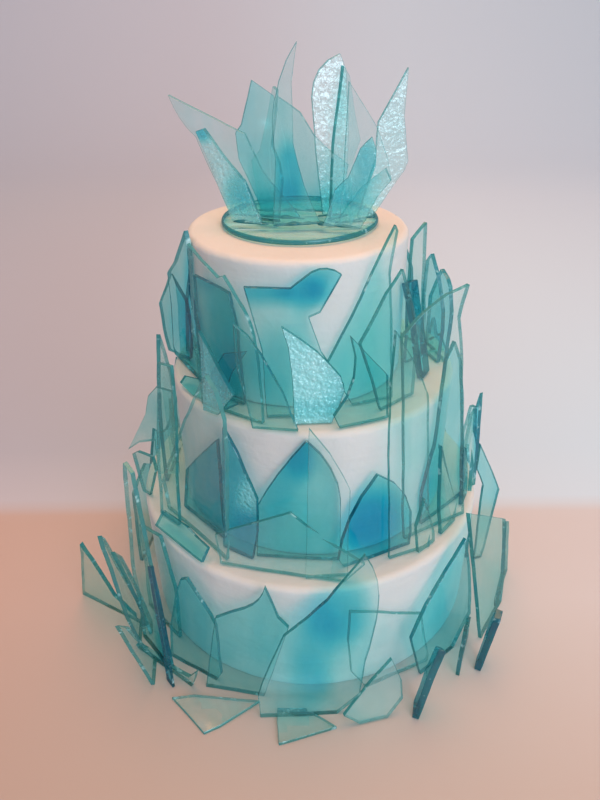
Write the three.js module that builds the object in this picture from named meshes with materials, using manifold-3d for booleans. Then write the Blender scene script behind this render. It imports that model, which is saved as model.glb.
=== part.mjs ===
import * as THREE from 'three';
import { mergeVertices } from 'three/addons/utils/BufferGeometryUtils.js';
import Module from 'manifold-3d';

// A three-tier wedding cake in smooth pale icing. Broken shards of tinted sugar glass stand
// in a ring round each tier, and a round plate of the same glass on top carries a spray of them.
// Millimetres, +Z up. The front of the cake faces -Y, and the origin is the middle of the
// bottom tier's underside.

// ---- driving dimensions ----------------------------------------------------------------

// Tiers: x is how far each sits to the side of the bottom one, base and top are heights.
const BOTTOM = { radius: 138, base: 0, top: 104, x: 0 };
const MIDDLE = { radius: 106, base: 104, top: 210, x: 2.5 };
const TOP = { radius: 76, base: 210, top: 312, x: -8 };
const GAP = 0.3;
const RIM = 6;
const RIM_STEPS = 4;
const HEEL = 1.5;
const SIDES = 64;

// The glass plate on top, with a fully rounded edge. Its x and y are from the top tier's axis.
const PLATE = { radius: 54, thickness: 4, x: 1.5, y: 5 };

// Shards: one pane thickness for most, and four segments to each curved edge.
const PANE = 3;
const THICK_PANE = 5;
const CURVE_STEPS = 4;

// ---- colours ---------------------------------------------------------------------------

const ICING = { color: 0xf3e6da, roughness: 0.75, metalness: 0 };
const PALE = { color: 0xb4d8d6, roughness: 0.12, metalness: 0 };
const TEAL = { color: 0x6fbfbf, roughness: 0.12, metalness: 0 };
const BLUE = { color: 0x2f9ab8, roughness: 0.12, metalness: 0 };
const DARK = { color: 0x2b7f86, roughness: 0.15, metalness: 0 };

// ---- tools -----------------------------------------------------------------------------

const wasm = await Module();
wasm.setup();

const cake = new THREE.Group();

function addMesh(name, geometry, finish) {
  const mesh = new THREE.Mesh(geometry, new THREE.MeshStandardMaterial(finish));
  mesh.name = name;
  cake.add(mesh);
  return mesh;
}

// Points of a quarter round from straight out to straight up, about (x, y).
function quarterRound(x, y, radius, steps) {
  const points = [];
  for (let i = 0; i <= steps; i++) {
    const angle = (i / steps) * Math.PI / 2;
    points.push(new THREE.Vector2(x + radius * Math.cos(angle), y + radius * Math.sin(angle)));
  }
  return points;
}

// A drum turned about its own axis, from a profile in (radius, height), stood up along +Z.
function turned(profile) {
  return new THREE.LatheGeometry(profile, SIDES).rotateX(Math.PI / 2);
}

function solidOf(geometry) {
  const bare = geometry.clone();
  bare.deleteAttribute('normal');
  bare.deleteAttribute('uv');
  const merged = mergeVertices(bare, 1e-4);
  return new wasm.Manifold(new wasm.Mesh({
    numProp: 3,
    vertProperties: new Float32Array(merged.attributes.position.array),
    triVerts: new Uint32Array(merged.index.array),
  }));
}

function geometryOf(solid) {
  const mesh = solid.getMesh();
  const geometry = new THREE.BufferGeometry();
  geometry.setAttribute('position', new THREE.BufferAttribute(mesh.vertProperties, 3));
  geometry.setIndex(new THREE.BufferAttribute(mesh.triVerts, 1));
  geometry.computeVertexNormals();
  return geometry;
}

// ---- tiers and plate -------------------------------------------------------------------

// An iced drum: a soft rounded rim above and a small heel below.
function tier(name, { radius, base, top, x }) {
  const height = top - base - GAP;
  const profile = [
    new THREE.Vector2(0, 0),
    new THREE.Vector2(radius - HEEL, 0),
    new THREE.Vector2(radius, HEEL),
    ...quarterRound(radius - RIM, height - RIM, RIM, RIM_STEPS),
    new THREE.Vector2(0, height),
  ];
  addMesh(name, turned(profile), ICING).position.set(x, 0, base);
}

function crownPlate() {
  const half = PLATE.thickness / 2;
  const inner = PLATE.radius - half;
  const upper = quarterRound(inner, half, half, RIM_STEPS);
  const lower = upper.slice(1).map((p) => new THREE.Vector2(p.x, PLATE.thickness - p.y)).reverse();
  const profile = [
    new THREE.Vector2(0, 0),
    ...lower,
    ...upper,
    new THREE.Vector2(0, PLATE.thickness),
  ];
  addMesh('crown_plate', turned(profile), TEAL)
    .position.set(TOP.x + PLATE.x, PLATE.y, TOP.top);
}

// ---- shards ----------------------------------------------------------------------------

// One pane cut to an outline of [across, up, bow] corners. The pane faces -Y before it is
// turned. A bow is how far the edge that leads to that corner swells past a straight line,
// away from the pane's middle, or towards it where the bow is negative.
function pane(outline, thickness = PANE) {
  const middle = new THREE.Vector2();
  for (const [across, up] of outline) {
    middle.add(new THREE.Vector2(across, up).divideScalar(outline.length));
  }
  const shape = new THREE.Shape();
  shape.moveTo(outline[0][0], outline[0][1]);
  for (let i = 1; i <= outline.length; i++) {
    const from = new THREE.Vector2(...outline[i - 1]);
    const [across, up, bow = 0] = outline[i % outline.length];
    const to = new THREE.Vector2(across, up);
    if (bow === 0) {
      shape.lineTo(to.x, to.y);
      continue;
    }
    const control = from.clone().add(to).multiplyScalar(0.5);
    const normal = new THREE.Vector2(to.y - from.y, from.x - to.x).normalize();
    const away = Math.sign(normal.dot(control.clone().sub(middle)));
    control.addScaledVector(normal, away * bow * 2);
    shape.quadraticCurveTo(control.x, control.y, to.x, to.y);
  }
  const settings = { depth: thickness, bevelEnabled: false, curveSegments: CURVE_STEPS };
  return new THREE.ExtrudeGeometry(shape, settings).translate(0, 0, -thickness / 2);
}

// Where a shard stands. Its face looks along `face`, 0 at the front and positive to the right,
// and it leans back by `lean` degrees. It is raised by what a leaning pane's lower edge dips.
function stand({ x, y, z, face = 0, lean = 0, thickness = PANE }) {
  const tilt = THREE.MathUtils.degToRad(lean);
  const turn = THREE.MathUtils.degToRad(face);
  const dip = thickness / 2 * Math.abs(Math.sin(tilt));
  const matrix = new THREE.Matrix4().makeRotationFromEuler(
    new THREE.Euler(Math.PI / 2 - tilt, 0, turn, 'ZYX'));
  return matrix.setPosition(x, y, z + dip);
}

// A ring place: `at` degrees round from the front, `out` millimetres clear of the tier's wall.
function ringPlace(ring, shard) {
  const angle = THREE.MathUtils.degToRad(shard.at);
  const reach = ring.radius + shard.out;
  return {
    ...shard,
    x: ring.x + reach * Math.sin(angle),
    y: -reach * Math.cos(angle),
    z: ring.base === 0 ? 0 : ring.base + GAP,
    face: shard.face ?? shard.at,
  };
}

function crownPlace(shard) {
  return { ...shard, x: TOP.x + shard.x, z: TOP.top + PLATE.thickness + GAP };
}

function standing(place) {
  return pane(place.outline, place.thickness).applyMatrix4(stand(place));
}

// Shards that lean into each other and have set together are one solid.
function joined(name, places, finish) {
  let whole = solidOf(standing(places[0]));
  for (const place of places.slice(1)) {
    whole = whole.add(solidOf(standing(place)));
  }
  addMesh(name, geometryOf(whole), finish);
}

function shards(table, placed) {
  for (const [name, entry] of Object.entries(table)) {
    const list = entry.pieces ?? [entry];
    joined(name, list.map(placed), entry.finish ?? TEAL);
  }
}

// ---- the crown: shards standing on the plate ---------------------------------------------

const CROWN = {
  crown_left_long: {
    x: -16, y: 2, face: -10, finish: PALE,
    outline: [[-67, 75], [-51, 51, 2], [-30, 0], [18, 0], [-7, 30], [-18, 53], [-40, 63]],
  },
  crown_left_frosted: {
    x: -32, y: -12, face: -25,
    outline: [[-36, 55], [-27, 36], [-13, 0], [10, 0], [-2, 27], [-18, 43], [-30, 57]],
  },
  crown_back: {
    finish: PALE,
    pieces: [
      {
        x: -14, y: 17, face: 10,
        outline: [[-15, 83], [-23, 57], [-27, 52], [-25, 35], [-11, 0], [12, 0], [6, 46], [-1, 73]],
      },
      {
        x: 6, y: 15, face: -8,
        outline: [[-19, 73], [-25, 42], [-24, 0], [22, 0], [29, 32], [13, 43], [5, 50], [-4, 63]],
      },
    ],
  },
  crown_blade: {
    x: -18, y: -7, face: -30,
    outline: [[5, 82], [-6, 45], [-13, 38], [-7, 0], [7, 0], [10, 26], [8, 38], [3, 48], [8, 80]],
  },
  crown_spire: {
    x: -2, y: -16, face: 5, finish: BLUE,
    outline: [[3, 106], [-13, 62, 4], [-11, 40], [-15, 0], [18, 0], [0, 50, -2], [-1, 84]],
  },
  crown_leaf: {
    x: 14, y: 3, face: 10, finish: PALE,
    outline: [[13, 98], [-5, 74, 5], [-3, 46], [3, 0], [19, 0], [19, 60], [17, 89]],
  },
  crown_lance: {
    x: 24, y: -4, face: 35,
    outline: [[5, 92], [-2, 44], [-3, 0], [15, 0], [15, 36], [21, 48], [16, 63], [10, 86]],
  },
  crown_right_tall: {
    x: 36, y: -12, finish: PALE,
    outline: [[-4, 84], [-6, 51], [-8, 0], [9, 0], [18, 22], [25, 27], [22, 39], [14, 58]],
  },
  crown_right_blue: {
    finish: BLUE,
    pieces: [
      {
        x: 24, y: -20, face: -4,
        outline: [[22, 54], [15, 47], [8, 30], [0, 23], [-8, 0], [11, 0], [20, 22], [25, 37], [25, 46]],
      },
      {
        x: 34, y: -24, face: -24,
        outline: [[22, 38], [7, 26], [-11, 0], [7, 0], [18, 21], [26, 31]],
      },
    ],
  },
  crown_kite: {
    x: 46, y: -3, face: 10, finish: PALE,
    outline: [[23, 91], [15, 77], [5, 60], [5, 37], [-6, 0], [5, 0], [25, 30], [27, 36], [22, 63]],
  },
};

// ---- the ring round the top tier ---------------------------------------------------------

const TOP_RING = {
  top_left_tall: {
    finish: DARK,
    pieces: [
      {
        at: -82, out: 10, face: -60, lean: 1,
        outline: [[23, 107], [0, 79], [-16, 66], [-19, 7], [-17, 0], [36, 0], [33, 41], [25, 67], [26, 101]],
      },
      {
        at: -92, out: 16, face: -40,
        outline: [[1, 65], [-17, 38], [-15, 18], [-11, 0], [14, 0], [18, 22], [15, 49]],
      },
    ],
  },
  top_clear: {
    at: -31, out: 17, lean: 3, finish: PALE,
    outline: [
      [-24, 109], [-25, 52], [-20, 0], [29, 0], [25, 48], [23, 60], [11, 80, 2], [1, 93], [-3, 91],
      [-15, 100],
    ],
  },
  top_left_inner: {
    at: -38, out: 4, face: -33, lean: 1,
    outline: [[-21, 84], [-22, 38], [-20, 0], [15, 0], [13, 54], [7, 78]],
  },
  top_front_fin: {
    at: -8, out: 26, lean: 3,
    outline: [[-25, 71], [-25, 46], [-16, 0], [14, 0], [4, 27], [-9, 52], [-17, 64]],
  },
  top_frosted: {
    at: -40, out: 24, face: -34, lean: 5, finish: DARK,
    outline: [[-1, 56], [1, 0], [14, 0], [27, 18], [14, 35]],
  },
  top_wave: {
    at: 2, out: 10, lean: 2, finish: BLUE,
    outline: [
      [-35, 90], [-26, 48], [-24, 0], [20, 0], [26, 22], [11, 46], [3, 69], [10, 72], [23, 96],
      [5, 98, 3], [-8, 88], [-22, 89],
    ],
  },
  top_bright: {
    at: 4, out: 18, face: 2, lean: 4, finish: PALE,
    outline: [[-17, 67], [-13, 54], [-11, 38], [-10, 0], [14, 0], [22, 23], [20, 32], [6, 49], [-6, 59]],
  },
  top_blade: {
    at: 20, out: 27, lean: 3,
    outline: [[-3, 63], [-15, 10, -8], [-11, 0], [24, 0], [22, 31], [5, 53]],
  },
  top_diagonal: {
    at: 33, out: 7, face: 20, lean: 1,
    outline: [[14, 119], [7, 104], [-7, 75], [-29, 36], [-11, 0], [19, 0], [13, 88], [16, 115]],
  },
  top_shoulder: {
    at: 45, out: 20, face: 38, lean: 4,
    outline: [[0, 92], [-14, 80], [-36, 53], [-26, 25], [-18, 0], [13, 0], [16, 47], [9, 69]],
  },
  top_blue_bar: {
    at: 68, out: 20, face: 60, lean: 13, thickness: THICK_PANE, finish: BLUE,
    outline: [[-9, 73], [-5, 38], [-4, 0], [9, 0], [10, 21], [7, 47], [7, 70]],
  },
  top_right_tall: {
    at: 84, out: 10, face: 40, finish: PALE,
    outline: [[1, 104], [-12, 95], [-12, 52], [-9, 0], [10, 0], [6, 53]],
  },
  top_right_pair: {
    pieces: [
      {
        at: 88, out: 24, face: 110, lean: 2,
        outline: [[6, 78], [-3, 66], [-13, 43], [-14, 28], [-12, 0], [6, 0], [14, 40], [12, 71]],
      },
      {
        at: 95, out: 28, face: 104, lean: 2,
        outline: [[-8, 67], [-17, 64], [-22, 59], [-27, 42], [-24, 0], [10, 0], [8, 40]],
      },
      { at: 92, out: 26, face: 20, outline: [[-9, 0], [12, 0], [7, 14], [-5, 10]] },
    ],
  },
};

// ---- the ring round the middle tier --------------------------------------------------------

const MIDDLE_RING = {
  mid_left_tall: {
    at: -60, out: 23, face: -40, finish: PALE,
    outline: [[14, 141], [2, 83], [-9, 0], [13, 0], [20, 67], [25, 106], [27, 143]],
  },
  mid_left_bar: {
    at: -72, out: 27, face: -40, finish: DARK,
    outline: [[-20, 35], [-14, 0], [-5, 0], [7, 31], [5, 43], [-13, 40]],
  },
  mid_left_dark: {
    at: -52, out: 3, face: -48, finish: DARK,
    outline: [[-13, 42], [-23, 0], [29, 0], [32, 60], [31, 91], [15, 74]],
  },
  mid_left_blade: {
    at: -29, out: 10, lean: 2, finish: DARK,
    outline: [[-6, 105], [-12, 0], [14, 0], [18, 26], [19, 55], [13, 67], [4, 88]],
  },
  mid_arch: {
    at: -5, out: 2, finish: BLUE,
    outline: [[3, 102, 5], [-30, 47, 2], [-32, 0], [26, 0], [26, 55]],
  },
  mid_front_trio: {
    finish: PALE,
    pieces: [
      {
        at: -53, out: 14, face: -48, lean: 1,
        outline: [
          [40, 145], [33, 135], [2, 83], [-31, 24], [-27, 0], [50, 0], [52, 20], [58, 96], [57, 121],
          [49, 138],
        ],
      },
      {
        at: 3, out: 20, lean: 6,
        outline: [[-11, 116], [-14, 0], [15, 0], [15, 70], [2, 97]],
      },
      {
        at: -12, out: 18, lean: 8,
        outline: [[7, 50], [-45, 24], [-42, 0], [46, 0], [59, 17], [34, 31], [20, 40]],
      },
    ],
  },
  mid_hump: {
    at: 24, out: 8, lean: 1, finish: BLUE,
    outline: [[-6, 73, 9], [-34, 8, 6], [-30, 0], [24, 0], [25, 12]],
  },
  mid_right_clear: {
    finish: PALE,
    pieces: [
      {
        at: 38, out: 20, face: 20, lean: 2,
        outline: [[-32, 176], [-34, 142], [-28, 0], [5, 0], [-7, 129], [-15, 146]],
      },
      { at: 35, out: 21, face: 40, lean: -1, outline: [[0, 51], [-6, 29], [0, 0], [18, 0], [16, 10]] },
    ],
  },
  mid_right_big: {
    finish: PALE,
    pieces: [
      {
        at: 57, out: 18, face: 30,
        outline: [
          [-14, 192], [-31, 189], [-47, 181], [-62, 169], [-45, 0], [12, 0], [-11, 138], [-18, 171],
        ],
      },
      { at: 47, out: 20, face: 50, lean: 6, outline: [[-1, 78], [0, 0], [20, 0], [23, 15], [17, 30]] },
    ],
  },
  mid_right_inner: {
    pieces: [
      {
        at: 60, out: 8, face: 42,
        outline: [
          [-11, 149], [-19, 137], [-21, 70], [-30, 34], [-26, 0], [27, 0], [17, 56], [-1, 131],
        ],
      },
      { at: 65, out: 21, face: 65, lean: 6, outline: [[-2, 56], [0, 0], [16, 0], [10, 48]] },
    ],
  },
  mid_right_pair: {
    finish: PALE,
    pieces: [
      {
        at: 77, out: 28, face: 112, lean: 4,
        outline: [[1, 89], [0, 0], [12, 0], [17, 6], [20, 40], [12, 72], [5, 74]],
      },
      { at: 86, out: 22, face: 86, outline: [[-28, 0], [10, 0], [8, 50], [-4, 64], [-16, 44]] },
    ],
  },
  mid_ledge_left: {
    at: -46, out: 31, face: -44, lean: 35, finish: DARK,
    outline: [[-30, 0], [26, 0], [26, 12], [0, 15], [-28, 14]],
  },
};

// The one at the far left of the middle tier is caught in the shards behind it.
const MIDDLE_FAR_LEFT = {
  at: -86, out: 19, face: 0,
  outline: [[4, 84], [-4, 76], [-8, 60], [-27, 26], [-17, 33], [-4, 34], [-6, 0], [12, 0], [15, 80]],
};

// ---- the ring round the bottom tier --------------------------------------------------------

const BOTTOM_RING = {
  low_left_tall: {
    finish: PALE,
    pieces: [
      {
        at: -52, out: 25, face: -50,
        outline: [[14, 194], [-6, 90], [-13, 0], [32, 0], [31, 58], [25, 128], [25, 167], [23, 190]],
      },
      {
        at: -43, out: 27, face: -36, lean: -8,
        outline: [[-32, 0], [26, 0], [40, 34], [27, 15], [6, 9], [-21, 8], [-34, 4]],
      },
      { at: -42, out: 44, face: -84, lean: -12, outline: [[4, 75], [-8, 58], [-22, 0], [0, 0], [1, 28]] },
    ],
  },
  low_left_inner: {
    at: -62, out: 8, face: -48, finish: DARK,
    outline: [[-4, 99], [-15, 0], [33, 0], [38, 63], [26, 108]],
  },
  low_house: {
    at: -39, out: 14, face: -30, lean: 3,
    outline: [
      [-1, 91], [-7, 74], [-16, 34], [-18, 0], [26, 0], [31, 11], [29, 60], [25, 68], [5, 95],
    ],
  },
  low_sail: {
    at: -21, out: 14, face: -10, lean: 4,
    outline: [[-15, 75], [-27, 0], [18, 0], [37, 74], [30, 82], [21, 109], [7, 87, -3]],
  },
  low_big: {
    finish: BLUE,
    pieces: [
      {
        at: 1, out: 22, face: 2, lean: 5,
        outline: [
          [30, 146, 4], [6, 109], [-8, 94], [-23, 80], [-42, 21, 1], [-41, 0], [14, 0], [30, 17],
          [34, 52], [41, 100, 1],
        ],
      },
      { at: -4, out: 46, face: 0, lean: 89, outline: [[-12, 0], [29, 12], [7, 26], [-13, 26]] },
    ],
  },
  low_pale_back: {
    at: 24, out: 5, lean: 2, finish: PALE,
    outline: [[-35, 88], [-36, 59], [-32, 24], [-24, 9], [-20, 0], [34, 0], [35, 7], [24, 58]],
  },
  low_pale_front: {
    at: 14, out: 34, lean: 12, finish: PALE,
    outline: [[-2, 36], [-21, 12], [-9, 0], [12, 0], [24, 15], [23, 32], [15, 53]],
  },
  low_kite: {
    pieces: [
      {
        at: 42, out: 14, face: 38, lean: 3,
        outline: [[14, 114], [-5, 94], [-24, 73], [-38, 49], [-25, 0], [14, 0], [32, 25], [24, 80]],
      },
      { at: 42, out: 31, face: 68, outline: [[-4, 56], [-5, 0], [34, 0], [36, 20], [4, 40]] },
    ],
  },
  low_right_pair: {
    finish: PALE,
    pieces: [
      {
        at: 61, out: 30, face: 55, lean: 9,
        outline: [[-36, 137], [-27, 65], [-18, 0], [28, 0], [35, 23], [39, 80]],
      },
      {
        at: 79, out: 38, face: 64, lean: 7,
        outline: [[-4, 68], [-6, 12], [-34, 8], [-34, 0], [12, 0], [8, 60]],
      },
    ],
  },
  low_right_plate: {
    at: 88, out: 22, face: 20, lean: 3, finish: PALE,
    outline: [[-17, 129], [9, 75], [1, 10], [-1, 0], [-9, 0], [-9, 84], [-18, 104]],
  },
  low_blue_foot: {
    at: 25, out: 38, face: 74, lean: -8, thickness: THICK_PANE, finish: DARK,
    outline: [[-5, 80], [-6, 0], [8, 0], [12, 30], [8, 66]],
  },
  low_right_navy: {
    at: 47, out: 39, face: 68, lean: -6, thickness: THICK_PANE, finish: DARK,
    outline: [[-5, 58], [-6, 0], [6, 0], [10, 30], [4, 62]],
  },
  low_flat_left: {
    at: -24, out: 54, face: 0, lean: 89,
    outline: [[0, 0], [11, 5], [39, 24], [-11, 30], [-27, 28]],
  },
  low_left_splay: {
    finish: DARK,
    pieces: [
      {
        at: -57, out: 30, face: -84, lean: -4,
        outline: [[14, 126], [9, 118], [0, 79], [-22, 18], [-24, 0], [6, 0], [13, 41], [15, 115]],
      },
      {
        at: -54, out: 24, face: -78, lean: -8,
        outline: [[2, 104], [-10, 86], [-20, 34], [-20, 0], [-6, 0], [-8, 34], [-2, 80]],
      },
      {
        at: -68, out: 38, face: -30, lean: -14, outline: [[9, 109], [-42, 0], [30, 0], [24, 10], [10, 36]],
      },
    ],
  },
};

// ---- the back: the same ring carried on round each tier -----------------------------------

// Outlines as shares of a shard's width and height.
const KINDS = [
  [[-0.5, 0], [0.5, 0], [0.42, 0.5], [0.1, 1], [-0.3, 0.62]],
  [[-0.5, 0], [0.5, 0], [0.5, 0.55], [0.28, 0.9], [0, 0.8, -0.06], [-0.4, 1], [-0.48, 0.5]],
  [[-0.5, 0], [0.5, 0], [0.36, 0.72], [0.2, 1], [-0.42, 0.7, 0.05]],
  [[-0.5, 0], [0.5, 0], [0.44, 0.45], [-0.26, 1], [-0.46, 0.6]],
  [[-0.5, 0], [0.5, 0], [0.4, 0.84], [-0.1, 0.94], [-0.46, 0.74]],
];

// Park and Miller's generator, so that every build draws the same numbers.
function randomFrom(seed) {
  let state = seed;
  return (low, high) => {
    state = (state * 48271) % 2147483647;
    return low + (high - low) * (state / 2147483647);
  };
}

function scaled(kind, width, height) {
  return kind.map(([across, up, bow = 0]) => [across * width, up * height, bow * width]);
}

// A fence of `count` shards whose edges cross, with shorter ones standing across its joints,
// and any `extra` shards caught in it.
function fence(name, ring, { from, step, count, out, width, heights, seed, finish, extra = [] }) {
  const random = randomFrom(seed);
  const places = [];
  for (let i = 0; i < count; i++) {
    const at = from + i * step;
    const kind = KINDS[Math.floor(random(0, KINDS.length))];
    const outline = scaled(kind, width * random(0.98, 1.1), random(...heights));
    places.push({ at, out: out + random(0, 2), face: at + random(-4, 4), lean: 1, outline });
  }
  for (let i = 1; i < count; i += 2) {
    const at = from + (i - 0.5) * step;
    const kind = KINDS[Math.floor(random(0, KINDS.length))];
    const outline = scaled(kind, width * 0.6, heights[0] * random(0.5, 0.75));
    places.push({ at, out: out + 9, face: at + random(28, 40), lean: 3, outline });
  }
  joined(name, [...places, ...extra].map((place) => ringPlace(ring, place)), finish);
}

// ---- the whole cake --------------------------------------------------------------------

tier('tier_bottom', BOTTOM);
tier('tier_middle', MIDDLE);
tier('tier_top', TOP);
crownPlate();

// Each ring stands on the tier below the one that it goes round.
shards(CROWN, crownPlace);
shards(TOP_RING, (shard) => ringPlace(TOP, shard));
shards(MIDDLE_RING, (shard) => ringPlace(MIDDLE, shard));
shards(BOTTOM_RING, (shard) => ringPlace(BOTTOM, shard));

const TOP_HEIGHTS = [62, 112];
const MIDDLE_HEIGHTS = [70, 140];
const BOTTOM_HEIGHTS = [70, 145];
fence('top_back_right', TOP, {
  from: 120, step: 27, count: 3, out: 12, width: 52, heights: TOP_HEIGHTS, seed: 11, finish: TEAL,
});
fence('top_back_left', TOP, {
  from: 196, step: 25, count: 3, out: 5, width: 54, heights: TOP_HEIGHTS, seed: 23, finish: BLUE,
});
fence('mid_back_right', MIDDLE, {
  from: 112, step: 22, count: 4, out: 5, width: 54, heights: MIDDLE_HEIGHTS, seed: 31, finish: BLUE,
});
fence('mid_back_left', MIDDLE, {
  from: 200, step: 22, count: 4, out: 13, width: 56, heights: MIDDLE_HEIGHTS, seed: 47, finish: PALE,
  extra: [MIDDLE_FAR_LEFT],
});
fence('low_back_right', BOTTOM, {
  from: 98, step: 18, count: 5, out: 5, width: 56, heights: BOTTOM_HEIGHTS, seed: 59, finish: TEAL,
});
fence('low_back_left', BOTTOM, {
  from: 189, step: 18, count: 5, out: 14, width: 60, heights: BOTTOM_HEIGHTS, seed: 67, finish: BLUE,
});

export default cake;
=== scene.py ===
import math

import bmesh
import bpy
import numpy as np
from mathutils import Matrix, Vector, noise


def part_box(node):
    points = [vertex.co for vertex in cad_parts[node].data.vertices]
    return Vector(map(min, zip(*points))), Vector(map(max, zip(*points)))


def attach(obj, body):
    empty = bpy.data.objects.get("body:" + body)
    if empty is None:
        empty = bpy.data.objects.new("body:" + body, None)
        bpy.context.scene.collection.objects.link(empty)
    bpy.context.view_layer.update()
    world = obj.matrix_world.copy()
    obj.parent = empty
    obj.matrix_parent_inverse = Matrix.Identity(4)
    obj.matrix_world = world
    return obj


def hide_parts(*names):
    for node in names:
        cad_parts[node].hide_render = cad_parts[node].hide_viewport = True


# A three-tier iced wedding cake ringed by broken panes of tinted sugar glass.

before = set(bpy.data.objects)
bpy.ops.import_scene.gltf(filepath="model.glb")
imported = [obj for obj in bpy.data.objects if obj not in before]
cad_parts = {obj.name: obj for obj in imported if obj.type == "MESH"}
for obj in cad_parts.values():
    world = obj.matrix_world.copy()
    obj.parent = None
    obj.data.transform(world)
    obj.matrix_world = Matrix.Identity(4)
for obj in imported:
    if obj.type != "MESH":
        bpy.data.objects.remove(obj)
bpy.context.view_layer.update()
scene = bpy.context.scene
MM = 0.001
noise.seed_set(1)  # or noise_vector starts from the clock, and no two runs agree

# ---- camera ---------------------------------------------------------------------------

# The photograph's camera: the picture's size and the focal length in pixels, the place in
# metres, and the turns in radians.
WIDE, HIGH = 600, 800
FOCAL = 647.0
SENSOR = 36.0
EYE = Vector((-0.0076, -0.441, 0.442))
PITCH = 0.5536
ROLL = -0.0104

FORWARD = Vector((0, math.cos(PITCH), -math.sin(PITCH)))
LEVEL_UP = Vector((1, 0, 0)).cross(FORWARD)
RIGHT = math.cos(ROLL) * Vector((1, 0, 0)) + math.sin(ROLL) * LEVEL_UP
UP = -math.sin(ROLL) * Vector((1, 0, 0)) + math.cos(ROLL) * LEVEL_UP

camera_data = bpy.data.cameras.new("photo_camera")
camera = bpy.data.objects.new("photo_camera", camera_data)
scene.collection.objects.link(camera)
camera_data.sensor_fit = "HORIZONTAL"
camera_data.sensor_width = SENSOR
camera_data.lens = FOCAL / WIDE * SENSOR
camera_data.clip_start = 0.01
camera_data.clip_end = 50.0
turn = Matrix((RIGHT, UP, -FORWARD)).transposed()
camera.matrix_world = Matrix.Translation(EYE) @ turn.to_4x4()
scene.camera = camera


def pixel(p):
    """Where a point of the cake falls in the photograph."""
    d = p - EYE
    depth = d.dot(FORWARD)
    return WIDE / 2 + FOCAL * d.dot(RIGHT) / depth, HIGH / 2 - FOCAL * d.dot(UP) / depth


# ---- materials ------------------------------------------------------------------------

class Nodes:
    """Short names for building one material's node tree."""

    def __init__(self, name):
        self.material = bpy.data.materials.new(name)
        self.material.use_nodes = True
        self.tree = self.material.node_tree
        self.tree.nodes.clear()

    def add(self, kind, **settings):
        node = self.tree.nodes.new(kind)
        for key, value in settings.items():
            setattr(node, key, value)
        return node

    def put(self, socket, value):
        if isinstance(value, bpy.types.NodeSocket):
            self.tree.links.new(value, socket)
        else:
            socket.default_value = value

    def math(self, operation, a, b=0.0, clamp=False):
        node = self.add("ShaderNodeMath", operation=operation, use_clamp=clamp)
        self.put(node.inputs[0], a)
        self.put(node.inputs[1], b)
        return node.outputs[0]

    def attribute(self, name):
        return self.add("ShaderNodeAttribute", attribute_name=name).outputs["Fac"]

    def place(self, scale=(1, 1, 1)):
        coordinates = self.add("ShaderNodeTexCoord")
        mapping = self.add("ShaderNodeMapping")
        self.put(mapping.inputs["Vector"], coordinates.outputs["Object"])
        mapping.inputs["Scale"].default_value = scale
        return mapping.outputs[0]

    def noise(self, scale, detail=2.0, roughness=0.5, stretch=(1, 1, 1), distortion=0.0):
        node = self.add("ShaderNodeTexNoise")
        self.put(node.inputs["Vector"], self.place(stretch))
        node.inputs["Scale"].default_value = scale
        node.inputs["Detail"].default_value = detail
        node.inputs["Roughness"].default_value = roughness
        node.inputs["Distortion"].default_value = distortion
        return node.outputs["Fac"]

    def ramp(self, factor, stops, interpolation="LINEAR"):
        node = self.add("ShaderNodeValToRGB")
        node.color_ramp.interpolation = interpolation
        elements = node.color_ramp.elements
        while len(elements) < len(stops):
            elements.new(0.5)
        for element, (position, colour) in zip(elements, stops):
            element.position = position
            element.color = (*colour, 1)
        self.put(node.inputs[0], factor)
        return node.outputs[0]

    def bump(self, height, strength, distance):
        node = self.add("ShaderNodeBump")
        self.put(node.inputs["Height"], height)
        self.put(node.inputs["Strength"], strength)
        node.inputs["Distance"].default_value = distance
        return node.outputs[0]

    def scaled(self, value, factor, offset):
        """value * factor + offset"""
        total = self.math("MULTIPLY_ADD", value, factor)
        self.put(total.node.inputs[2], offset)
        return total

    def sum_of(self, first, first_scale, second, second_scale):
        return self.scaled(first, first_scale, self.scaled(second, second_scale, 0.0))

    def mix(self, factor, first, second):
        node = self.add("ShaderNodeMixShader")
        self.put(node.inputs[0], factor)
        self.put(node.inputs[1], first)
        self.put(node.inputs[2], second)
        return node.outputs[0]

    def finish(self, surface):
        output = self.add("ShaderNodeOutputMaterial")
        self.put(output.inputs["Surface"], surface)
        return self.material


CAKE_TONES = [(0.3, (0.77, 0.755, 0.745)), (0.7, (0.83, 0.82, 0.81))]
# Painted light: a warm tint multiplied into the ledge tops, for the warm light that falls on
# them from above.
PAINTED_TOP_WARMTH = (0.93, 0.865, 0.83, 1)
# How far the palette knife's strokes, the small dents and the grain stand out, in metres.
STROKES, DENTS, GRAIN = 0.00045, 0.0006, 0.0001


def icing():
    n = Nodes("icing")
    shader = n.add("ShaderNodeBsdfPrincipled")
    tone = n.ramp(n.noise(14, 2, 0.6), CAKE_TONES)
    # Painted light: the ledge tops are tinted warm where the light from above falls on them.
    top_warmth = n.add("ShaderNodeMix", data_type="RGBA", blend_type="MULTIPLY")
    n.put(top_warmth.inputs["Factor"], n.attribute("ledge"))
    n.put(top_warmth.inputs["A"], tone)
    top_warmth.inputs["B"].default_value = PAINTED_TOP_WARMTH
    n.put(shader.inputs["Base Color"], top_warmth.outputs["Result"])
    shader.inputs["Roughness"].default_value = 0.62
    shader.inputs["Subsurface Weight"].default_value = 0.12
    shader.inputs["Subsurface Radius"].default_value = (0.004, 0.003, 0.002)
    shader.inputs["Subsurface Scale"].default_value = 1.0
    shader.inputs["Specular IOR Level"].default_value = 0.35
    strokes = n.noise(1.0, 2, 0.55, stretch=(18, 18, 160))
    grain = n.noise(420, 2, 0.6)
    dents = n.noise(75, 2, 0.6, distortion=0.6)
    height = n.sum_of(n.sum_of(strokes, STROKES, grain, GRAIN), 1.0, dents, DENTS)
    n.put(shader.inputs["Normal"], n.bump(height, 1.0, 1.0))
    return n.finish(shader.outputs[0])


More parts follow.
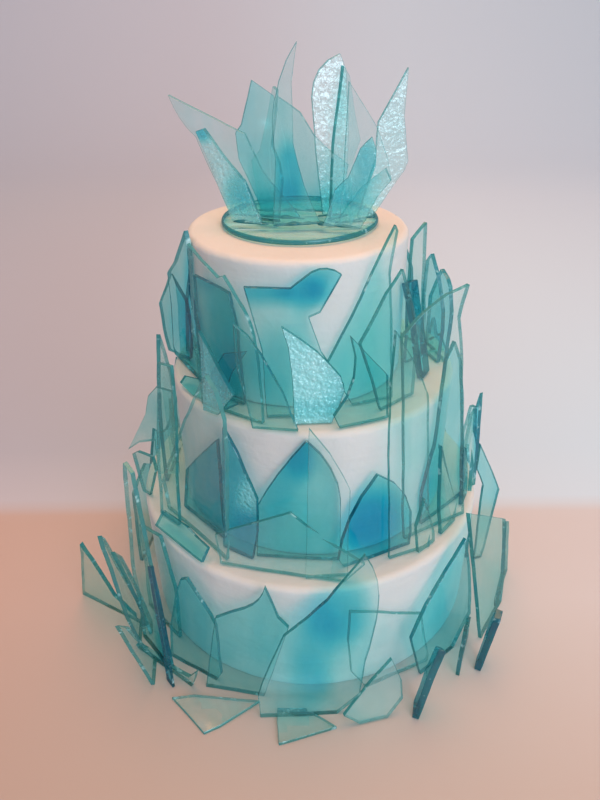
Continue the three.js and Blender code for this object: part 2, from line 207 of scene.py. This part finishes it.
# What one face of a pane lets through, from hardly dyed to deep blue. Light that comes back
# from the icing behind a pane passes four faces.
DYES = [
    (0.00, (0.955, 0.990, 0.988)),
    (0.25, (0.790, 0.960, 0.955)),
    (0.50, (0.580, 0.905, 0.920)),
    (0.75, (0.335, 0.850, 0.910)),
    (1.00, (0.190, 0.750, 0.870)),
]
# The same for the broken rims, where sight runs along the pane: strong, and faint in the crown.
EDGE_DYES = [
    (0.00, (0.30, 0.60, 0.58)),
    (0.35, (0.11, 0.44, 0.44)),
    (0.70, (0.03, 0.28, 0.34)),
    (1.00, (0.005, 0.14, 0.22)),
]
FAINT_DYES = [
    (0.00, (0.54, 0.75, 0.74)),
    (0.35, (0.34, 0.64, 0.64)),
    (0.70, (0.12, 0.46, 0.50)),
    (1.00, (0.03, 0.26, 0.34)),
]
# The little that a pane scatters back.
MILK = [
    (0.00, (0.80, 0.89, 0.92)),
    (0.22, (0.48, 0.92, 0.96)),
    (0.50, (0.22, 0.80, 0.86)),
    (1.00, (0.03, 0.48, 0.68)),
]


# What colours the sheen of panes and rims, and the bright flecks on rims, which are painted
# highlights standing in for glints.
GLASS_TINT = (0.78, 0.95, 1.0, 1)
RIM_TINT = (0.62, 0.92, 0.97, 1)
PAINTED_GLINT = (0.62, 0.93, 0.96, 1)
# How solid a rim is, where it isn't clear.
STRONG, FAINT = 0.9, 0.5


def see_through(n, dye, dyes):
    clear = n.add("ShaderNodeBsdfTransparent")
    n.put(clear.inputs["Color"], n.ramp(dye, dyes))
    return clear.outputs[0]


def solid_sugar(n, dye, dyes, roughness, normal):
    solid = n.add("ShaderNodeBsdfPrincipled")
    n.put(solid.inputs["Base Color"], n.ramp(dye, dyes))
    solid.inputs["Roughness"].default_value = roughness
    n.put(solid.inputs["Normal"], normal)
    return solid.outputs[0]


def with_sheen(n, body, normal, roughness, least, growth, tint):
    """The body under a mirror-like share that grows towards grazing sight, on both sides."""
    facing = n.add("ShaderNodeLayerWeight")
    facing.inputs["Blend"].default_value = 0.5
    n.put(facing.inputs["Normal"], normal)
    share = n.scaled(n.math("POWER", facing.outputs["Facing"], 5.0), growth, least)
    mirror = n.add("ShaderNodeBsdfAnisotropic")
    mirror.inputs["Color"].default_value = tint
    mirror.inputs["Roughness"].default_value = roughness
    n.put(mirror.inputs["Normal"], normal)
    return n.mix(share, body, mirror.outputs[0])


def with_shadow(n, seen, clear):
    """What the eye sees, and a plain dyed shadow for light on its way to the icing."""
    path = n.add("ShaderNodeLightPath")
    return n.finish(n.mix(path.outputs["Is Shadow Ray"], seen, clear))


def stirred(n, dye, field, amount):
    """The dye, deeper where a noise field is above its middle and paler where it is below."""
    shift = n.math("MULTIPLY", n.math("SUBTRACT", field, 0.5), amount)
    return n.math("ADD", dye, shift, clamp=True)


def flecks(n, scale, roughness, growth, start, amount):
    """Scattered specks, where a fine noise stands high."""
    height = n.scaled(n.noise(scale, 2, roughness), growth, start)
    return n.math("MULTIPLY", n.math("MAXIMUM", height, 0.0, clamp=True), amount)


def glass(name, kind):
    """Poured sugar: smooth, hammered, or streaked across like the crown's plate."""
    n = Nodes(name)
    dye = n.attribute("dye")
    cloud = n.attribute("cloud")
    least, roughness = 0.036, 0.06
    if kind == "hammered":
        least, roughness = 0.075, 0.16
        normal = n.bump(n.noise(350, 1, 0.5), n.scaled(cloud, 0.9, 0.15), 0.0020)
        bubbles = flecks(n, 420, 0.7, 9.0, -5.2, cloud)
        haze = n.sum_of(cloud, 0.55, bubbles, 0.5)
    elif kind == "streaked":
        streak = n.noise(1.0, 2, 0.6, stretch=(14, 190, 14))
        normal = n.bump(streak, 0.7, 0.0015)
        dye = stirred(n, dye, streak, 1.1)
        pale = n.math("SUBTRACT", n.noise(1.0, 1, 0.5, stretch=(20, 240, 20)), 0.56)
        haze = n.math("MULTIPLY", n.math("MAXIMUM", pale, 0.0), 3.0, clamp=True)
    else:
        normal = n.bump(n.noise(48, 1, 0.4), 0.4, 0.0010)
        smudge = n.noise(1.0, 3, 0.65, stretch=(75, 75, 26))
        dye = stirred(n, dye, smudge, 0.3)
        haze = n.sum_of(cloud, 0.42, smudge, 0.045)
    clear = see_through(n, dye, DYES)
    body = n.mix(haze, clear, solid_sugar(n, dye, MILK, 0.25, normal))
    seen = with_sheen(n, body, normal, roughness, least, 0.28, GLASS_TINT)
    return with_shadow(n, seen, clear)


def rim_look(n, dyes, solidity):
    """A broken rim, part clear and part solid, with small bright flecks painted on as glints of
    light.
    """
    streak = n.noise(70, 1, 0.6)
    base = n.scaled(n.attribute("dye"), 0.75, -0.12)
    dye = n.math("ADD", base, n.math("MULTIPLY", streak, 0.75), clamp=True)
    normal = n.bump(n.noise(240, 1, 0.5), 0.5, 0.0008)
    clear = see_through(n, dye, dyes)
    solid = solid_sugar(n, dye, dyes, 0.2, normal)
    body = n.mix(n.math("MULTIPLY", streak, solidity), clear, solid)
    # Painted highlight: glints of light, painted as bright flecks of a pale diffuse colour.
    painted_glint = n.add("ShaderNodeBsdfDiffuse")
    painted_glint.inputs["Color"].default_value = PAINTED_GLINT
    body = n.mix(flecks(n, 130, 0.6, 7.0, -4.35, 0.7), body, painted_glint.outputs[0])
    return with_sheen(n, body, normal, 0.1, 0.045, 0.2, RIM_TINT), clear


def glass_edge(name, dyes, solidity, within=None):
    """A rim, and how its back looks from inside the pane: the same, fainter, or plain glass."""
    n = Nodes(name)
    seen, clear = rim_look(n, dyes, solidity)
    if within:
        back = n.add("ShaderNodeNewGeometry").outputs["Backfacing"]
        if within == "plain":
            back_seen = back_clear = see_through(n, n.attribute("dye"), DYES)
        else:
            back_seen, back_clear = rim_look(n, FAINT_DYES, FAINT)
        seen = n.mix(back, seen, back_seen)
        clear = n.mix(back, clear, back_clear)
    return with_shadow(n, seen, clear)


ICING = icing()
SMOOTH_GLASS = glass("sugar_glass", "smooth")
HAMMERED_GLASS = glass("sugar_glass_hammered", "hammered")
PLATE_GLASS = glass("sugar_glass_plate", "streaked")
EDGE = glass_edge("sugar_glass_edge", EDGE_DYES, STRONG, "faint")
SOLID_EDGE = glass_edge("sugar_glass_solid_edge", EDGE_DYES, STRONG)
DARK_EDGE = glass_edge("sugar_glass_dark_edge", EDGE_DYES, STRONG, "plain")
FAINT_EDGE = glass_edge("sugar_glass_faint_edge", FAINT_DYES, FAINT, "plain")


# ---- pieces ---------------------------------------------------------------------------

def piece(name, mesh, smooth, replaces=None):
    """An object on the cake's one body, smooth up to an angle in degrees."""
    item = bpy.data.objects.new(name, mesh)
    scene.collection.objects.link(item)
    mesh.polygons.foreach_set("use_smooth", [True] * len(mesh.polygons))
    mesh.set_sharp_from_angle(angle=math.radians(smooth))
    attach(item, "root")
    if replaces:
        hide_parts(replaces)


def add_field(mesh, name, values):
    mesh.attributes.new(name, "FLOAT", "POINT").data.foreach_set("value", values)


# ---- icing ----------------------------------------------------------------------------

# A tier's rounded top edge and foot, and the rows and columns of its mesh.
ROUNDED = 4.5 * MM
FOOT = 2.5 * MM
WALL_ROWS, ROUND_ROWS, LEDGE_ROWS, AROUND = 26, 6, 16, 240


def tier_outline(radius, high):
    """Half of a drum's outline, from the middle of its foot to the middle of its top."""
    outline = [(0, 0), (radius - 2 * MM, 0), (radius - 0.6 * MM, 0.6 * MM), (radius, FOOT)]
    for i in range(1, WALL_ROWS + 1):
        outline.append((radius, FOOT + (high - ROUNDED - FOOT) * i / WALL_ROWS))
    for i in range(1, ROUND_ROWS + 1):
        a = i / ROUND_ROWS * math.pi / 2
        outline.append((radius - ROUNDED + ROUNDED * math.cos(a),
                        high - ROUNDED + ROUNDED * math.sin(a)))
    for i in range(1, LEDGE_ROWS):
        outline.append(((radius - ROUNDED) * (1 - i / LEDGE_ROWS), high))
    outline.append((0, high))
    return outline


def tier(node):
    """An iced drum, a little uneven, in the place of its plain solid."""
    low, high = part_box(node)
    cx, cy = (low.x + high.x) / 2, (low.y + high.y) / 2
    base, top = low.z, high.z
    verts, rows = [], []
    for r, z in tier_outline((high.x - low.x) / 2, top - base):
        if r == 0:
            rows.append([len(verts)])
            verts.append((cx, cy, base + z))
            continue
        rows.append(list(range(len(verts), len(verts) + AROUND)))
        for k in range(AROUND):
            a = k / AROUND * math.tau
            d = Vector((math.cos(a), math.sin(a), 0))
            spot = Vector((d.x * r, d.y * r, z)) + Vector((0, 0, base * 3))
            swell = 0.40 * noise.noise(spot * 28) + 0.28 * noise.noise(spot * 80)
            inward = -0.35 * MM + swell * MM if z > 0 else 0
            near_top = min(1, z / (top - base)) ** 8
            lift = near_top * (swell * 0.7 - 0.25) * MM
            verts.append((cx + d.x * (r + inward), cy + d.y * (r + inward), base + (z + lift)))
    faces = []
    for a, b in zip(rows, rows[1:]):
        for k in range(AROUND):
            k2 = (k + 1) % AROUND
            if len(a) == 1:
                faces.append((a[0], b[k2], b[k]))
            elif len(b) == 1:
                faces.append((a[k], a[k2], b[0]))
            else:
                faces.append((a[k], a[k2], b[k2], b[k]))
    mesh = bpy.data.meshes.new("iced_" + node)
    mesh.from_pydata(verts, [], faces)
    add_field(mesh, "ledge",
              [min(1, max(0, (v.co.z - top) / ROUNDED + 1)) for v in mesh.vertices])
    mesh.materials.append(ICING)
    piece("iced_" + node, mesh, 60, node)


for node in ("tier_bottom", "tier_middle", "tier_top"):
    tier(node)


# ---- shards ---------------------------------------------------------------------------

# How deeply each shard is dyed, how cloudy it is, and its stronger patches as
# (across, down, half width, half height, depth) in the photograph's pixels.
CROWN_FOOT = (300, 208, 84, 17, 0.24)
SHARDS = {
    "crown_plate": (0.04, 0.0, [(300, 216, 70, 10, 0.15)]),
    "crown_left_long": (0.10, 0.22, [CROWN_FOOT, (262, 190, 26, 20, 0.2)]),
    "crown_left_frosted": (0.10, 0.55, [
        CROWN_FOOT, (201, 133, 9, 9, 0.6), (240, 190, 14, 18, 0.4),
    ]),
    "crown_back": (0.20, 0.25, [CROWN_FOOT, (278, 130, 14, 36, 0.12)]),
    "crown_blade": (0.24, 0.2, [CROWN_FOOT]),
    "crown_spire": (0.06, 0.14, [CROWN_FOOT, (290, 172, 15, 30, 0.62), (292, 192, 18, 14, 0.2)]),
    "crown_leaf": (0.02, 0.36, [CROWN_FOOT]),
    "crown_lance": (0.14, 0.2, [CROWN_FOOT]),
    "crown_right_tall": (0.06, 0.16, [CROWN_FOOT]),
    "crown_right_blue": (0.12, 0.3, [
        CROWN_FOOT, (366, 160, 13, 24, 0.45), (346, 190, 20, 15, 0.35),
    ]),
    "crown_kite": (0.10, 0.30, [CROWN_FOOT]),
    "top_left_tall": (0.46, 0.0, [(193, 300, 9, 60, 0.45), (176, 310, 8, 34, 0.15)]),
    "top_clear": (0.04, 0.0, [(226, 356, 28, 58, 0.24)]),
    "top_left_inner": (0.50, 0.0, [(206, 275, 12, 16, 0.25), (222, 360, 14, 30, 0.1)]),
    "top_front_fin": (0.34, 0.0, [(262, 370, 10, 30, 0.2)]),
    "top_frosted": (0.32, 0.5, [(220, 368, 10, 22, 0.15)]),
    "top_wave": (0.14, 0.0, [
        (258, 293, 34, 11, 0.56), (303, 292, 22, 16, 0.50), (328, 284, 20, 22, 0.48),
        (305, 330, 14, 24, 0.10), (272, 375, 22, 44, 0.30),
    ]),
    # top_bright's full cloudiness is partly real haze and partly milk painted bright as a
    # painted reflection of a window.
    "top_bright": (0.22, 1.0, [(336, 392, 14, 34, 0.15), (306, 410, 30, 9, 0.22)]),
    "top_blade": (0.30, 0.0, [(372, 385, 16, 24, 0.15)]),
    "top_diagonal": (0.24, 0.0, [(385, 245, 10, 22, -0.12)]),
    "top_shoulder": (0.24, 0.0, [(400, 345, 12, 44, 0.12)]),
    "top_blue_bar": (0.70, 0.0, []),
    "top_right_tall": (0.16, 0.0, [(412, 330, 14, 44, 0.35)]),
    "top_right_pair": (0.45, 0.0, []),
    "mid_left_tall": (0.20, 0.0, []),
    "mid_left_bar": (0.30, 0.0, []),
    "mid_front_trio": (0.05, 0.0, [(308, 540, 36, 24, 0.16), (178, 440, 12, 60, 0.20)]),
    "mid_left_dark": (0.64, 0.12, [(222, 500, 12, 40, 0.12)]),
    "mid_left_blade": (0.66, 0.28, [(247, 540, 14, 26, 0.2), (250, 495, 12, 16, -0.3)]),
    "mid_arch": (0.40, 0.0, [(300, 456, 16, 24, 0.45), (276, 492, 16, 30, 0.22)]),
    "mid_hump": (0.30, 0.0, [(376, 524, 34, 34, 0.62), (356, 538, 14, 14, 0.15)]),
    "mid_right_clear": (0.08, 0.0, []),
    "mid_right_big": (0.10, 0.0, [(438, 490, 6, 50, 0.3)]),
    "mid_right_inner": (0.34, 0.0, [(424, 480, 8, 50, 0.3), (461, 475, 4, 34, 0.5)]),
    "mid_right_pair": (0.16, 0.0, [(478, 440, 5, 50, 0.5)]),
    "mid_ledge_left": (0.42, 0.0, []),
    "low_left_tall": (0.16, 0.0, [(166, 630, 10, 44, 0.7), (150, 610, 14, 40, 0.25)]),
    "low_left_inner": (0.16, 0.0, []),
    "low_house": (0.37, 0.06, []),
    "low_sail": (0.34, 0.04, [(240, 680, 30, 20, -0.08)]),
    "low_big": (0.14, 0.10, [
        (300, 700, 40, 20, 0.12), (308, 682, 18, 30, 0.16), (336, 612, 28, 34, 0.50),
        (318, 650, 26, 44, 0.35), (362, 640, 14, 50, 0.20),
    ]),
    "low_pale_back": (0.01, 0.06, []),
    "low_pale_front": (0.20, 0.20, []),
    "low_kite": (0.38, 0.10, [(452, 600, 14, 40, 0.12)]),
    "low_right_pair": (0.30, 0.0, []),
    "low_right_plate": (0.24, 0.0, []),
    "low_blue_foot": (0.60, 0.0, [(414, 706, 8, 12, 0.3)]),
    "low_right_navy": (0.8, 0.0, []),
    "low_flat_left": (0.06, 0.1, []),
    "low_left_splay": (0.26, 0.0, []),
    "top_back_right": (0.32, 0.0, []),
    "top_back_left": (0.36, 0.0, []),
    "mid_back_right": (0.34, 0.0, []),
    "mid_back_left": (0.06, 0.1, []),
    "low_back_right": (0.26, 0.0, []),
    "low_back_left": (0.32, 0.0, []),
}
# Cloudier patches, in the same manner.
CLOUDS = {
    "crown_left_frosted": [(214, 152, 8, 9, 0.4), (224, 170, 8, 14, 0.6), (206, 145, 5, 8, 0.4)],
    "mid_left_blade": [(251, 497, 12, 18, 0.8)],
    "top_left_inner": [(212, 300, 6, 10, 0.2)],
    "low_big": [(296, 683, 34, 9, 0.35), (300, 706, 30, 8, 0.2)],
}
# From this cloudiness on, a shard is hammered.
HAMMERED_FROM = 0.28
CROWN_EDGES = {"crown_plate": SOLID_EDGE, "crown_lance": DARK_EDGE}
PLATE_LOW, PLATE_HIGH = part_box("crown_plate")
PLATE_RADIUS = (PLATE_HIGH.x - PLATE_LOW.x) / 2
DARK_RIM = 7 * MM
RIM_DEPTH = 0.55
PANE = 3 * MM
THICK = {"top_blue_bar": 5 * MM, "low_blue_foot": 5 * MM, "low_right_navy": 5 * MM}
# How far apart a shard's mesh is cut, and the corners that are cut off: how sharp, how deep.
SLICE = 5.5 * MM
CORNER, CORNER_CUT = math.radians(40), 0.35 * MM


def is_edge(face, pane):
    """True for a face that is only as wide as the pane is thick."""
    longest = max(e.calc_length() for e in face.edges)
    return face.calc_area() / longest < pane * 1.12


def slice_up(bm):
    """Cuts every face along planes a slice apart, so that it can bend and carry colour."""
    co = np.array([v.co for v in bm.verts])
    low, high = co.min(0), co.max(0)
    for axis in range(3):
        count = int((high[axis] - low[axis]) / SLICE)
        for i in range(1, count + 1):
            spot = Vector(low)
            spot[axis] = low[axis] + i * (high[axis] - low[axis]) / (count + 1)
            direction = Vector((0, 0, 0))
            direction[axis] = 1
            geometry = bm.verts[:] + bm.edges[:] + bm.faces[:]
            bmesh.ops.bisect_plane(bm, geom=geometry, plane_co=spot, plane_no=direction,
                                   dist=2e-5)


def wander(p, seed):
    """A slow shift that makes straight panes and edges a little uneven."""
    shift = noise.noise_vector(p * 20 + Vector((seed, seed * 0.7, -seed))) * (1.1 * MM)
    shift += noise.noise_vector(p * 70 + Vector((-seed, seed, 0))) * (0.35 * MM)
    return shift


def patchy(p, patches):
    """What the patches add at a point."""
    x, y = pixel(p)
    total = 0.0
    for across, down, wide, high, strength in patches:
        near = ((x - across) / wide) ** 2 + ((y - down) / high) ** 2
        total += strength * math.exp(-near * near * 0.7)
    return total


def plate_rim(p):
    """1 at the crown plate's rim, and 0 where its dark band ends."""
    middle = (PLATE_LOW + PLATE_HIGH) / 2
    from_rim = PLATE_RADIUS - math.hypot(p.x - middle.x, p.y - middle.y)
    return max(0, 1 - min(1, from_rim / DARK_RIM))


def dye_at(p, node, seed, blotted):
    base, _, patches = SHARDS[node]
    depth = base + 0.08 * noise.noise(p * 16 + Vector((seed, 0, 0)))
    depth += 0.06 * noise.noise(p * 50 + Vector((0, seed, 0)))
    depth += patchy(p, patches)
    if blotted:
        depth += 0.7 * max(0, noise.noise(p * 14 + Vector((0, seed, 0))) - 0.05)
    if node == "crown_plate":
        depth += RIM_DEPTH * plate_rim(p) ** 2
    return min(1.0, max(0.0, depth))


def cloud_at(p, node, seed):
    uneven = 1 + 0.5 * noise.noise(p * 40 + Vector((seed, seed, 0)))
    return min(1.0, max(0.0, uneven * (SHARDS[node][1] + patchy(p, CLOUDS.get(node, [])))))


def ordered_mesh(name, bm):
    """The mesh with its faces in a fixed order, because bmesh's own order varies by run."""
    bm.verts.index_update()
    faces = []
    for face in bm.faces:
        ring = [v.index for v in face.verts]
        first = ring.index(min(ring))
        faces.append((ring[first:] + ring[:first], face.material_index))
    faces.sort()
    mesh = bpy.data.meshes.new(name)
    mesh.from_pydata([v.co for v in bm.verts], [], [ring for ring, _ in faces])
    mesh.polygons.foreach_set("material_index", [material for _, material in faces])
    return mesh


def shard(node, seed):
    """A pane with softened corners, a slight waver, and its dye and cloud as mesh values."""
    is_plate = node == "crown_plate"
    cloudy, patches = SHARDS[node][1:]
    bm = bmesh.new()
    bm.from_mesh(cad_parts[node].data)
    bmesh.ops.remove_doubles(bm, verts=bm.verts, dist=1e-5)
    bmesh.ops.dissolve_limit(bm, angle_limit=math.radians(1.5), verts=bm.verts[:],
                             edges=bm.edges[:])
    pane = THICK.get(node, PANE)
    ground = min(v.co.z for v in bm.verts)
    for face in bm.faces:
        rim = abs(face.normal.z) < 0.9 if is_plate else is_edge(face, pane)
        face.material_index = 1 if rim else 0
    if not is_plate:
        corners = [e for e in bm.edges if e.is_manifold and e.calc_face_angle() > CORNER]
        bmesh.ops.bevel(bm, geom=corners, offset=CORNER_CUT, segments=1, profile=0.6,
                        affect="EDGES", clamp_overlap=True, material=1)
    slice_up(bm)
    blotted = "back" in node or not patches and min(v.co.y for v in bm.verts) > -0.02
    loose = 0.3 if is_plate else 1.0
    for v in bm.verts:
        v.co += wander(v.co, seed) * loose
        v.co.z = max(v.co.z, ground)
    mesh = ordered_mesh("glass_" + node, bm)
    bm.free()
    add_field(mesh, "dye", [dye_at(v.co, node, seed, blotted) for v in mesh.vertices])
    add_field(mesh, "cloud", [cloud_at(v.co, node, seed) for v in mesh.vertices])
    if is_plate:
        mesh.materials.append(PLATE_GLASS)
    else:
        mesh.materials.append(HAMMERED_GLASS if cloudy >= HAMMERED_FROM else SMOOTH_GLASS)
    usual = FAINT_EDGE if node.startswith("crown") else EDGE
    mesh.materials.append(CROWN_EDGES.get(node, usual))
    piece("glass_" + node, mesh, 35, node)


for seed, node in enumerate(sorted(SHARDS)):
    shard(node, seed * 3.7)


# ---- melted feet and chips ------------------------------------------------------------

# A melted foot's rows and columns, its thickness and how far it strays from a straight line.
FOOT_STEPS, FOOT_AROUND = 26, 10
FOOT_RADIUS, FOOT_DRIFT = 1.9 * MM, 1.2 * MM


def even_mesh(name, verts, faces, dye_value, cloud_value, materials):
    mesh = bpy.data.meshes.new(name)
    mesh.from_pydata(verts, [], faces)
    add_field(mesh, "dye", [dye_value] * len(verts))
    add_field(mesh, "cloud", [cloud_value] * len(verts))
    for material in materials:
        mesh.materials.append(material)
    return mesh


def blob_rings(verts, faces, rings):
    """Joins rings of points into one closed skin, with a point at each end."""
    start = len(verts)
    count = len(rings[0])
    for ring in rings:
        verts.extend(ring)
    ends = []
    for ring in (rings[0], rings[-1]):
        ends.append(len(verts))
        verts.append(sum(ring, Vector()) / count)
    for r in range(len(rings) - 1):
        for k in range(count):
            a, b = start + r * count + k, start + r * count + (k + 1) % count
            faces.append((a, b, b + count, a + count))
    last = start + (len(rings) - 1) * count
    for k in range(count):
        k2 = (k + 1) % count
        faces.append((ends[0], start + k2, start + k))
        faces.append((ends[1], last + k, last + k2))


def melted_foot(node, seed):
    """Sugar that ran and set in a lumpy bead where a crown shard stands on its plate."""
    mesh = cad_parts[node].data
    low = min(v.co.z for v in mesh.vertices)
    feet = [v.co for v in mesh.vertices if v.co.z < low + 2 * MM]
    a, b = max(((p, q) for p in feet for q in feet), key=lambda pair: (pair[0] - pair[1]).length)
    along = (b - a).normalized()
    along.z = 0
    side = Vector((-along.y, along.x, 0))
    middle = sum(feet, Vector()) / len(feet)
    half = (b - a).length / 2 + 1 * MM
    rings = []
    for i in range(FOOT_STEPS + 1):
        t = -1 + 2 * i / FOOT_STEPS
        lump = max(0.25, 0.75 + 0.9 * noise.noise(Vector((t * half * 130, seed, 0))))
        radius = FOOT_RADIUS * lump * math.sqrt(max(0.02, 1 - t ** 6))
        drift = FOOT_DRIFT * noise.noise(Vector((t * half * 60, 0, seed)))
        centre = middle + along * (half * t) + side * drift
        centre.z = PLATE_HIGH.z
        ring = []
        for k in range(FOOT_AROUND):
            angle = k / FOOT_AROUND * math.tau
            lift = max(-0.3 * MM, math.sin(angle) * radius * 0.75)
            ring.append(centre + side * (math.cos(angle) * radius * 1.25) + Vector((0, 0, lift)))
        rings.append(ring)
    verts, faces = [], []
    blob_rings(verts, faces, rings)
    mesh = even_mesh("melt_" + node, verts, faces, 0.5, 0.1, [SOLID_EDGE])
    piece("melt_" + node, mesh, 80)


for seed, node in enumerate(sorted(SHARDS)):
    if node.startswith("crown") and node != "crown_plate":
        melted_foot(node, seed * 2.3)


# Small chips that stand on what the ring's tier stands on: the ring, the place round it in
# degrees, how far out in mm, the way they face and how far they lean back in degrees, how
# deeply they are dyed, how cloudy they are, and the outline in mm.
RINGS = {"top": "tier_top", "bottom": "tier_bottom"}
HALF_CHIP = 1 * MM
CHIPS = [
    ("bar_navy", "bottom", -39, 34.5, -50, 1, 0.9, 0.1,
     [(-4, 0), (5, 0), (4, 20), (3, 52), (1, 81), (0, 122), (-6, 118), (-5, 70), (-3, 38)]),
    ("chip_dark", "top", -34, 12, -32, 3, 0.75, 0.1,
     [(-2, 0), (1, 14), (6, 27), (18, 45), (0, 39), (-10, 23), (-17, 13)]),
    ("chip_ledge", "top", -50, 18, -50, 55, 0.5, 0.1,
     [(-4, 0), (12, 2), (31, 5), (37, 13), (17, 17), (0, 14), (-22, 8), (-21, 2)]),
]


def chip(name, ring, at, out, face, lean, dye_value, cloud_value, outline):
    low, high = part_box(RINGS[ring])
    radius = (high.x - low.x) / 2 + out * MM
    turn, yaw, tilt = math.radians(at), math.radians(face), math.radians(lean)
    origin = Vector(((low.x + high.x) / 2 + radius * math.sin(turn),
                     (low.y + high.y) / 2 - radius * math.cos(turn), low.z + 0.3 * MM))
    across = Vector((math.cos(yaw), math.sin(yaw), 0))
    outward = Vector((math.sin(yaw), -math.cos(yaw), 0))
    up = math.cos(tilt) * Vector((0, 0, 1)) - math.sin(tilt) * outward
    front = math.cos(tilt) * outward + math.sin(tilt) * Vector((0, 0, 1))
    verts = []
    for depth in (-HALF_CHIP, HALF_CHIP):
        for u, v in outline:
            verts.append(origin + across * (u * MM) + up * (v * MM) + front * depth)
    count = len(outline)
    faces = [tuple(reversed(range(count))), tuple(range(count, 2 * count))]
    for k in range(count):
        k2 = (k + 1) % count
        faces.append((k, k2, count + k2, count + k))
    mesh = even_mesh(name, verts, faces, dye_value, cloud_value, [SMOOTH_GLASS, SOLID_EDGE])
    for i, polygon in enumerate(mesh.polygons):
        polygon.material_index = 0 if i < 2 else 1
    piece(name, mesh, 30)


for values in CHIPS:
    chip(*values)


# ---- floor and backdrop ---------------------------------------------------------------

# The floor's tones, from in front of the table to far behind it, on the warm left and the cool
# right side: each place is a share of the way from FLOOR_NEAR to FLOOR_FAR. The step from table
# to wall tones is the backdrop's own colour. The left side is darker and warmer as painted
# shade, for the light falling off away from the lamps at the right, and the first stop is darker
# as a painted shadow in front of the cake.
FLOOR_NEAR, FLOOR_FAR = -0.35, 2.8
SHADE_BLEND_HALF = 0.45
WARM_SHADED_SIDE = [
    (0.04, (0.50, 0.36, 0.31)),
    (0.094, (0.58, 0.40, 0.345)),
    (0.1286, (0.58, 0.40, 0.345)),
    (0.135, (0.56, 0.53, 0.60)),
    (0.165, (0.48, 0.48, 0.565)),
    (0.51, (0.63, 0.60, 0.64)),
    (1.0, (0.84, 0.76, 0.79)),
]
COOL_LIT_SIDE = [
    (0.04, (0.57, 0.49, 0.47)),
    (0.094, (0.66, 0.63, 0.66)),
    (0.1286, (0.66, 0.63, 0.66)),
    (0.135, (0.64, 0.79, 0.94)),
    (0.165, (0.62, 0.79, 0.95)),
    (0.51, (0.77, 0.84, 0.93)),
    (1.0, (0.87, 0.87, 0.90)),
]


def spread(n, value, low, high, curve="LINEAR"):
    node = n.add("ShaderNodeMapRange", interpolation_type=curve)
    n.put(node.inputs["Value"], value)
    node.inputs["From Min"].default_value = low
    node.inputs["From Max"].default_value = high
    return node.outputs[0]


def floor_material():
    n = Nodes("table")
    shader = n.add("ShaderNodeBsdfPrincipled")
    coordinates = n.add("ShaderNodeTexCoord")
    split = n.add("ShaderNodeSeparateXYZ")
    n.put(split.inputs[0], coordinates.outputs["Object"])
    back = spread(n, split.outputs["Y"], FLOOR_NEAR, FLOOR_FAR)
    # Painted shade: the floor blends from the darker, shaded left side to the lighter right
    # side.
    across = spread(n, split.outputs["X"], -SHADE_BLEND_HALF, SHADE_BLEND_HALF, "SMOOTHSTEP")
    blend = n.add("ShaderNodeMix", data_type="RGBA")
    n.put(blend.inputs["Factor"], across)
    n.put(blend.inputs["A"], n.ramp(back, WARM_SHADED_SIDE))
    n.put(blend.inputs["B"], n.ramp(back, COOL_LIT_SIDE))
    n.put(shader.inputs["Base Color"], blend.outputs["Result"])
    shader.inputs["Roughness"].default_value = 0.55
    n.put(shader.inputs["Normal"], n.bump(n.noise(300, 2), 0.1, 0.0004))
    return n.finish(shader.outputs[0])


# The floor's half side and the wall's top, and the sweep between them, in metres.
FLOOR_HALF, WALL_TOP = 6, 5
SWEEP_FROM, SWEEP, SWEEP_STEPS = 1.6, 1.2, 12


def backdrop():
    """A floor that sweeps up into a wall far behind the cake."""
    profile = [(-FLOOR_HALF, 0), (SWEEP_FROM, 0)]
    for i in range(1, SWEEP_STEPS + 1):
        a = i / SWEEP_STEPS * math.pi / 2
        profile.append((SWEEP_FROM + SWEEP * math.sin(a), SWEEP - SWEEP * math.cos(a)))
    profile.append((SWEEP_FROM + SWEEP, WALL_TOP))
    verts = [(x, y, z) for y, z in profile for x in (-FLOOR_HALF, FLOOR_HALF)]
    faces = [(2 * i, 2 * i + 1, 2 * i + 3, 2 * i + 2) for i in range(len(profile) - 1)]
    mesh = bpy.data.meshes.new("floor")
    mesh.from_pydata(verts, [], faces)
    mesh.polygons.foreach_set("use_smooth", [True] * len(mesh.polygons))
    mesh.materials.append(floor_material())
    item = bpy.data.objects.new("floor", mesh)
    scene.collection.objects.link(item)


backdrop()


# ---- light ----------------------------------------------------------------------------

def area(name, place, target, size, power, colour):
    """A square lamp turned to its target, with its power in watts."""
    data = bpy.data.lights.new(name, "AREA")
    data.shape = "SQUARE"
    data.size = size
    data.energy = power
    data.color = colour
    item = bpy.data.objects.new(name, data)
    scene.collection.objects.link(item)
    item.location = place
    item.rotation_euler = (Vector(target) - Vector(place)).to_track_quat("-Z", "Y").to_euler()


area("ceiling", (0.1, 0.22, 1.9), (0, 0, 0.2), 1.5, 24, (1.0, 0.44, 0.09))
area("front", (0.80, -1.75, 0.55), (0, 0, 0.25), 0.8, 8, (0.82, 0.95, 1.0))
area("window", (0.9, -1.3, 1.2), (0, 0, 0.2), 1.3, 11, (0.80, 0.92, 1.0))
area("wall", (0, 0.9, 2.6), (0, 3.0, 0.6), 2.0, 10, (0.92, 0.94, 1.0))

world = bpy.data.worlds.new("room")
scene.world = world
world.use_nodes = True
background = world.node_tree.nodes["Background"]
background.inputs["Color"].default_value = (0.68, 0.78, 0.90, 1)
background.inputs["Strength"].default_value = 0.50

scene.view_settings.view_transform = "Standard"
scene.view_settings.look = "None"
scene.cycles.transparent_max_bounces = 40
scene.cycles.max_bounces = 8
